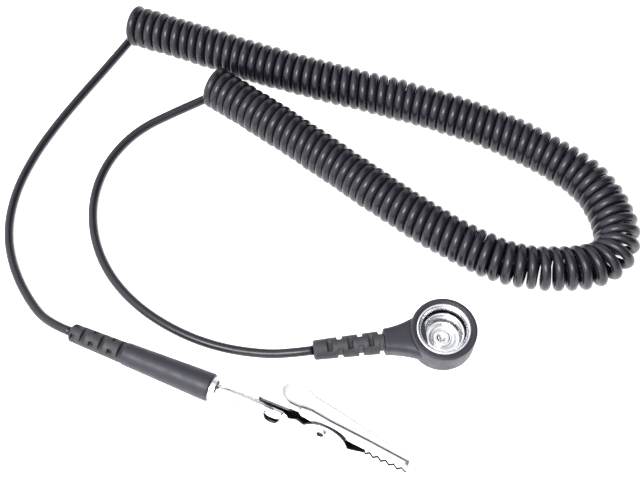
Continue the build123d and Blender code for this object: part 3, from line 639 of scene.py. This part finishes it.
# painted shade in the cup's groove, along the rim's fold and down the socket wall
paintedShade = sum(most * within(cupRadius, *radii, fadeOut) * within(cupHeight, *heights, fadeUp)
             for most, radii, heights in socket["paintedShade"])
paintShade(cup, paintedShade)
boss = build("socketRivet", [patch(placed(turned(rounded(
    socket["boss"], socket["bossCorner"], closed=False), 96), upright))],
             "cord_set", ["snap_rivet"])
boss.data.materials.append(finishes["nickel_plate"])
ringPoints = socket["ringPoints"]
sweep = np.radians(np.linspace(socket["ringGap"], 360 - socket["ringGap"], ringPoints)
                   + socket["ringTurn"])
ringLine = np.stack([socket["ringRadius"] * np.cos(sweep), socket["ringRadius"] * np.sin(sweep),
                     0 * sweep + socket["ringHeight"]], axis=-1)
fromEnd = np.minimum(np.arange(ringPoints), np.arange(ringPoints)[::-1])
fromEnd = fromEnd * socket["ringStep"] / (socket["wire"] / 2)
thick = socket["wire"] / 2 * np.sqrt(1 - np.clip(1 - fromEnd - socket["ringBlunt"], 0, 1) ** 2)
ringTube = tube(ringLine, np.tile([0, 0, 1.0], (ringPoints, 1)), thick,
                socket["ringSides"])
ring = build("springRing", [patch(placed(ringTube, upright), ends=True)],
             "cord_set", ["snap_spring_ring"])
ring.data.materials.append(finishes["spring_wire"])
print("snap head built")

snapRelief = {
    "length": 18.4, "spigot": 1.2, "rear": 2.6, "front": 3.05, "endRound": 0.7,
    "notches": [6.35, 11.75, 17.15], "windows": [3.65, 9.05, 14.45], "cut": 1.25,
    "notchFrom": 0.0, "windowsAt": (90, 270), "windowHalf": 1.75,
}
plugRelief = {
    "length": 15.5, "spigot": 4.0, "rear": 2.45, "front": 2.8, "endRound": 0.7,
    "notches": [3.45, 8.85, 14.25], "windows": [0.75, 6.15, 11.55], "cut": 1.25,
    "notchFrom": 90.0, "windowsAt": (45, 135, 225, 315), "windowHalf": 0.65,
}
reliefShape = {
    "web": 1.3, "core": 1.3, "bore": 1.225, "spigot": 1.9, "soft": 0.2,
    "sides": 90, "sections": 190,
    "leastWeb": 0.05, "leastCore": 0.3,  # least cosines that a flat is worked out with
}


def reliefGrid(piece):
    # Radius as a function of distance and angle: a rounded taper, cut back to the web's
    # flat sides in each notch and to the core in each window, all with soft edges.
    x = np.unique(np.concatenate([piece["endRound"] * (1 - np.cos(np.linspace(0, 1.57, 8))),
                                  np.linspace(piece["endRound"], piece["length"],
                                              reliefShape["sections"])]))
    sides = reliefShape["sides"]
    angle = np.radians(np.arange(sides) * 360 / sides)
    taper = piece["rear"] + (piece["front"] - piece["rear"]) * x / piece["length"]
    dip = np.clip(1 - x / piece["endRound"], 0, 1)
    taper = taper - piece["endRound"] * (1 - np.sqrt(1 - dip ** 2))
    radius = taper[:, None] + 0 * angle
    soft = reliefShape["soft"]
    fromNotch = np.abs(np.cos(angle - math.radians(piece["notchFrom"])))
    flat = reliefShape["web"] / np.maximum(fromNotch, reliefShape["leastWeb"])
    for start in piece["notches"]:
        cut = within(x, start, start + piece["cut"], soft)[:, None]
        radius = radius + cut * (np.minimum(taper[:, None], flat) - radius)
    for start in piece["windows"]:
        cut = within(x, start, start + piece["cut"], soft)[:, None]
        for turn in piece["windowsAt"]:
            away = angle - math.radians(turn)
            aside = taper[:, None] * np.sin(away)
            inside = within(aside, -piece["windowHalf"], piece["windowHalf"], soft)
            inside = inside * (np.cos(away) > 0)
            depth = reliefShape["core"] / np.maximum(np.cos(away), reliefShape["leastCore"])
            radius = radius + cut * inside * (np.minimum(depth, radius) - radius)
    outer = np.stack([x[:, None] + 0 * angle, radius * np.cos(angle), radius * np.sin(angle)],
                     axis=-1)
    end = piece["length"]
    hidden = np.array([(reliefShape["spigot"], end), (reliefShape["spigot"],
                       end + piece["spigot"]), (reliefShape["bore"], end + piece["spigot"]),
                       (reliefShape["bore"], 0)])
    return np.concatenate([outer, turned(hidden, sides, "x")])


rearOfSnapRelief = axesAt(cord["snapEnd"], snapHeading - 180)
for name, piece, axes, node in (
        ("snapRelief", snapRelief, rearOfSnapRelief, "snap_strain_relief"),
        ("plugRelief", plugRelief, plugAxes, "plug_strain_relief")):
    sleeve = build(name, [patch(placed(reliefGrid(piece), axes), along=True)], "cord_set",
                   [node])
    sleeve.data.materials.append(finishes["strain_relief"])
print("strain reliefs built")

handle = {
    "outline": [  # (radius, distance along the plug) outside, then the bore back
        (2.95, 15.5), (3.02, 17.0), (3.68, 39.0), (3.7, 40.3), (2.2, 40.3), (1.8, 40.0),
        (1.8, 30.8), (1.5, 30.8), (1.5, 21.0), (1.225, 21.0), (1.225, 19.5), (1.9, 19.5),
        (1.9, 15.5),
    ],
    "corners": [0.35, 1.0, 1.0, 0.65, 0.1, 0.1, 0.1, 0.1, 0.1, 0.1, 0.1, 0.1, 0.1],
    "seam": 0.035,  # height of the parting line
    "seamEnds": (16.2, 39.4), "seamFade": 0.6,
    "seamWidth": 0.045,  # in radians, about
    "skin": 2.9,  # points further out than this are on the outside
    "middleRadius": 3.3, "sides": 144,
}
grip = turned(rounded(handle["outline"], np.array(handle["corners"]), steps=9), handle["sides"],
              "x")
angle = np.linspace(0, 2 * math.pi, handle["sides"], endpoint=False)
onSkin = np.hypot(grip[..., 1], grip[..., 2]) > handle["skin"]
onSkin = onSkin * within(grip[..., 0], *handle["seamEnds"], handle["seamFade"])
ridge = np.exp(-(np.sin(angle) / handle["seamWidth"]) ** 2)
swell = 1 + handle["seam"] / handle["middleRadius"] * onSkin * ridge
grip[..., 1:] *= swell[..., None]
plugHandle = build("plugHandle", [patch(placed(grip, plugAxes), along=True)], "cord_set",
                   ["plug_handle"])
plugHandle.data.materials.append(finishes["moulding"])
print("plug handle built")

clip = {
    "sheet": 0.6, "tail": 52.5, "barrelEnd": 61.3, "tip": 93.2, "pivot": (70.9, 4.0),
    "barrelRadius": 2.65, "split": 2.2, "window": (55.1, 60.1, -1.0),
    "arch": (71.4, -0.6, 7.0),  # centre and radius of the cheeks' top edge
    "halfWidths": [(52.5, 2.0), (60.3, 2.0), (63.4, 2.52), (66.0, 3.85), (74.0, 3.9),
                   (77.7, 3.6), (82.1, 2.42), (92.2, 1.9), (93.2, 1.4)],
    "floors": [(52.5, -2.65), (77.9, -2.65), (91.0, -2.30), (92.4, -2.0), (93.2, -1.2)],
    "archReach": 0.93,  # share of the arch's radius that shows
    "ledges": [(60.3, 0.9), (61.8, 2.8), (64.6, 4.1), (66.4, 4.3), (78.9, 1.6), (81.7, 1.5)],
    "farCheek": (3, 0.75),  # above this height the far cheek has this share of the near one
    "ears": (57.2, 4.7, 0.72, 0.25, 4.5),  # middle, reach, start, most and spread of the flare
    "toTrough": (60.4, 64.2),  # where the barrel opens out into the trough
    "lowerBend": 0.9,
    "toothFrom": 82.5, "toothZ": 1.8, "pitch": 2.1, "depth": 1.0,
    "toothSteps": 71, "toothStep": 0.15,
    "barrelPoints": 46, "troughPoints": 112, "tabPoints": 26, "platePoints": 110,
    "slope": -0.15238, "gap": 0.38,
    "plateSlope": 0.2309, "plateTip": 2.5,
    "tailDrop": (61.8, 3.4, 0.7),  # start, length and depth of the tab's droop
    "tipDrop": (92.4, 93.3, 0.3),
    "tab": (58.3, 3.7, 4.3),  # start, length of the round end and half width
    "tabTurn": (10, 90),  # degrees of the quarter ellipse that the round end follows
    "upperHalf": [(62.0, 4.3), (63.6, 4.12), (66.9, 3.2), (72.4, 3.15), (82.5, 2.35),
                  (92.5, 1.85), (93.2, 1.35)],
    "skirt": [(62.9, 10.9), (65.1, 6.95), (67.0, 6.05), (68.2, 5.5), (68.9, 3.4), (72.9, 3.4),
              (77.4, 3.7), (82.0, 2.7)],
    "lug": 2.1, "lugHalf": 2.05,  # radius round the pivot and the half length it is used over
    "skirtLeast": 1.0,
    "upperBend": 1.25,
    "crown": 0.10,  # rise of the plate's middle
    "edge": 0.09, "edgeAngle": 38,
    "softened": 9,  # samples that the half widths are averaged over
}


def zigzag(x):
    # height of the meeting line: a slope plus a triangle wave of the teeth's depth
    along = (x - clip["toothFrom"]) / clip["pitch"]
    wave = np.abs((along % 1) * 2 - 1)
    return clip["toothZ"] + (x - clip["toothFrom"]) * clip["slope"] + (0.5 - wave) * clip["depth"]


def channel(x, half, low, high, bend, counts=(10, 8, 8)):
    # Section of a folded sheet at each x: down one wall, round a bend, across the floor,
    # round the other bend and up the other wall, as (y, z) with the near wall first.
    bend = np.minimum(bend, np.minimum(half * 0.9, np.maximum(high - low, 0.05)))
    half, low, high, bend = (value[:, None] for value in (half, low, high, bend))
    wall = np.linspace(0, 1, counts[0])[None, :]
    turn = np.linspace(math.pi, 1.5 * math.pi, counts[1])[None, 1:]
    across = np.linspace(-1, 1, counts[2])[None, 1:-1]
    y = np.concatenate([-half + 0 * wall, -half + bend + bend * np.cos(turn),
                        (half - bend) * across], axis=1)
    z = np.concatenate([high + (low + bend - high) * wall, low + bend + bend * np.sin(turn),
                        low + 0 * across], axis=1)
    mirror = slice(counts[0] + counts[1] - 2, None, -1)
    y = np.concatenate([y, -y[:, mirror]], axis=1)
    z = np.concatenate([z, z[:, mirror]], axis=1)
    return np.stack([x[:, None] + 0 * y, y, z], axis=-1)


def thicken(thing):
    # sheet metal: a wall grown inwards with cut edges, and the edges slightly broken
    thing.data.materials.append(finishes["clip_steel"])
    thing.data.materials.append(paintedShadeSteel)
    wall = thing.modifiers.new("wall", "SOLIDIFY")
    wall.thickness = clip["sheet"] / 1000
    wall.offset = -1
    wall.use_even_offset = True
    # the inside faces and the cut edges take the second material, the painted shade metal
    wall.material_offset = 1
    wall.material_offset_rim = 1
    edge = thing.modifiers.new("edge", "BEVEL")
    edge.width = clip["edge"] / 1000
    edge.segments = 2
    edge.limit_method = "ANGLE"
    edge.angle_limit = math.radians(clip["edgeAngle"])
    edge.harden_normals = True


toothX = clip["toothFrom"] + np.arange(clip["toothSteps"]) * clip["toothStep"]
lowerX = np.concatenate([np.linspace(clip["tail"], clip["barrelEnd"], clip["barrelPoints"]),
                         np.linspace(clip["barrelEnd"], clip["toothFrom"],
                                     clip["troughPoints"])[1:-1], toothX, [clip["tip"]]])
centreX, centreZ, archRadius = clip["arch"]
archTop = centreZ + np.sqrt(np.clip(archRadius ** 2 - (lowerX - centreX) ** 2, 0, None))
ledge = np.interp(lowerX, *zip(*clip["ledges"]))
inArch = np.abs(lowerX - centreX) < archRadius * clip["archReach"]
lowerTop = np.where(inArch, np.maximum(archTop, ledge), ledge)
lowerTop = np.where(lowerX >= clip["toothFrom"] - 1e-6, zigzag(lowerX) - clip["gap"], lowerTop)
lowerHalf = softened(np.interp(lowerX, *zip(*clip["halfWidths"])), clip["softened"])
trough = channel(lowerX, lowerHalf, np.interp(lowerX, *zip(*clip["floors"])), lowerTop,
                 clip["lowerBend"])
farFrom, farShare = clip["farCheek"]
height = trough[..., 2]
farTop = (trough[..., 1] > 0) & (height > farFrom) & (lowerX < clip["toothFrom"])[:, None]
trough[..., 2] = np.where(farTop, farFrom + (height - farFrom) * farShare, height)
splitAngle = math.asin(clip["split"] / 2 / clip["barrelRadius"])
earMiddle, earReach, earFrom, earMost, earSpread = clip["ears"]
fromMiddle = np.abs(lowerX - earMiddle) / earReach
ears = splitAngle + earSpread * np.clip(fromMiddle - earFrom, 0, earMost) ** 2
windowFrom, windowTo, windowFloor = clip["window"]
cutDown = math.pi / 2 - math.asin(windowFloor / clip["barrelRadius"])
fromWindow = (lowerX - (windowFrom + windowTo) / 2) / ((windowTo - windowFrom) / 2)
nearEdge = ears + np.sqrt(np.clip(1 - fromWindow ** 2, 0, 1)) * (cutDown - ears)
span = 2 * math.pi - ears - nearEdge
rollAngle = (math.pi / 2 + nearEdge[:, None]
             + span[:, None] * np.linspace(0, 1, trough.shape[1])[None, :])
rolled = np.stack([lowerX[:, None] + 0 * rollAngle, clip["barrelRadius"] * np.cos(rollAngle),
                   clip["barrelRadius"] * np.sin(rollAngle)], axis=-1)
toTrough = easing(lowerX, *clip["toTrough"])[:, None, None]
lowerJaw = build("lowerJaw", [patch(placed(rolled + (trough - rolled) * toTrough, clipAxes),
                                    around=False)],
                 "clip_base", ["clip_lower_jaw"], closed=False)
thicken(lowerJaw)

tabStart, tabRound, tabHalf = clip["tab"]
tabPoints = clip["tabPoints"]
tabTurn = np.radians(np.linspace(*clip["tabTurn"], tabPoints))
upperX = np.concatenate([tabStart + tabRound * (1 - np.cos(tabTurn)),
                         np.linspace(tabStart + tabRound, clip["toothFrom"],
                                     clip["platePoints"])[1:-1], toothX, [clip["tip"]]])
upperHalf = np.interp(upperX, *zip(*clip["upperHalf"]))
upperHalf[tabPoints:] = softened(upperHalf[tabPoints:], clip["softened"])
upperHalf[:tabPoints] = tabHalf * np.sin(tabTurn)
plate = clip["plateTip"] + (clip["tip"] - upperX) * clip["plateSlope"]
dropFrom, dropLength, dropDepth = clip["tailDrop"]
plate = plate - dropDepth * np.clip((dropFrom - upperX) / dropLength, 0, 1) ** 2
tipFrom, tipTo, tipDepth = clip["tipDrop"]
plate = plate - tipDepth * easing(upperX, tipFrom, tipTo)
pivotX, pivotZ = clip["pivot"]
lug = pivotZ - np.sqrt(np.clip(clip["lug"] ** 2 - (upperX - pivotX) ** 2, 0, None))
skirt = np.interp(upperX, *zip(*clip["skirt"]))
skirt = np.where(np.abs(upperX - pivotX) < clip["lugHalf"], np.minimum(skirt, lug), skirt)
skirt = np.minimum(skirt, plate - clip["skirtLeast"])
skirt = np.where(upperX >= clip["toothFrom"] - 1e-6, zigzag(upperX) + clip["gap"], skirt)
lid = channel(upperX, upperHalf, -plate, -skirt, clip["upperBend"])
lid = lid[:, ::-1] * np.array([1, 1, -1.0])
shareOut = np.clip(np.abs(lid[..., 1]) / np.maximum(upperHalf[:, None], 0.1), 0, 1)
lid[..., 2] += clip["crown"] * (1 - shareOut ** 2)
upperJaw = build("upperJaw", [patch(placed(lid, clipAxes), around=False)], "upper_jaw",
                 ["clip_upper_jaw"], closed=False)
thicken(upperJaw)

rivet = {
    "head": [  # (radius, distance from the clip's middle)
        (0, 4.0), (0.70, 4.0), (0.78, 4.4), (1.02, 4.70), (1.32, 4.56), (1.6, 4.12),
        (1.6, 3.9), (1.1, 3.86),
    ],
    "corner": 0.12, "hollow": 0.80, "hollowSoft": 0.08,
}
half = rounded(rivet["head"], rivet["corner"], closed=False)
pivotRivet = turned(np.vstack([half, half[::-1] * [1, -1]]), 64, "y")
pivotRivet = pivotRivet + np.array([pivotX, 0, pivotZ])
rivetPiece = build("pivotRivet", [patch(placed(pivotRivet, clipAxes))], "clip_base",
                   ["clip_pivot_rivet"])
rivetPiece.data.materials.append(finishes["rivet_steel"])
rivetPlace = (pointsOf(rivetPiece) - clipAxes[0]) @ clipAxes[1].T * 1000
fromPin = np.hypot(rivetPlace[:, 0] - pivotX, rivetPlace[:, 2] - pivotZ)
# painted shade inside the head's hollow
paintShade(rivetPiece, within(fromPin, -1, rivet["hollow"], rivet["hollowSoft"]))

spring = {
    "radius": 1.8, "wire": 0.6, "turns": 6.5, "side": 2.1,
    "legs": (-7.5, 4.38, -5.4, -5.6),  # ends of the upper and the lower leg
    "kinks": (0.5, 0.76, 0.72),  # where each leg bends: share along, up and down
    "points": 110, "sides": 12,
    "blend": 0.0015,  # it turns from one jaw to the other this far each side of the pin
}
coilTurn = np.linspace(-0.5 * math.pi, (2 * spring["turns"] - 0.5) * math.pi,
                       spring["points"])
coilSide = np.linspace(-spring["side"], spring["side"], spring["points"])
legUpX, legUpZ, legLowX, legLowZ = spring["legs"]
kinkAlong, kinkUp, kinkDown = spring["kinks"]
springPoints = np.vstack([
    [(legLowX, -spring["side"], legLowZ),
     (legLowX * kinkAlong, -spring["side"], legLowZ * kinkDown)],
    np.stack([spring["radius"] * np.cos(coilTurn), coilSide, spring["radius"] * np.sin(coilTurn)],
             axis=-1),
    [(legUpX * kinkAlong, spring["side"], legUpZ * kinkUp),
     (legUpX, spring["side"], legUpZ)]])
springLine = placed(splineLine(springPoints, 4) + np.array([pivotX, 0, pivotZ]), clipAxes)
clipSide = np.tile(clipAxes[1][1], (len(springLine), 1))
springPiece = build("torsionSpring", [patch(tube(springLine, clipSide, spring["wire"] / 2000,
                                                 spring["sides"]), ends=True)],
                    None, ["clip_spring"])
springPiece.data.materials.append(finishes["spring_wire"])
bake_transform(springPiece)
print("clip built")

paperLook = {"reach": 3, "colour": (0.86, 0.86, 0.87), "rough": 0.7, "glow": 0.7}
reach = paperLook["reach"]
table = bpy.data.meshes.new("table")
table.from_pydata([(-reach, -reach, 0), (reach, -reach, 0), (reach, reach, 0),
                   (-reach, reach, 0)], [], [(0, 1, 2, 3)])
floor = bpy.data.objects.new("table", table)
bpy.context.collection.objects.link(floor)
paper = bpy.data.materials.new("whitePaper")
paper.use_nodes = True
paperShader = paper.node_tree.nodes["Principled BSDF"].inputs
paperShader["Base Color"].default_value = (*paperLook["colour"], 1)
paperShader["Roughness"].default_value = paperLook["rough"]
paperShader["Emission Color"].default_value = (1, 1, 1, 1)
paperShader["Emission Strength"].default_value = paperLook["glow"]
table.materials.append(paper)
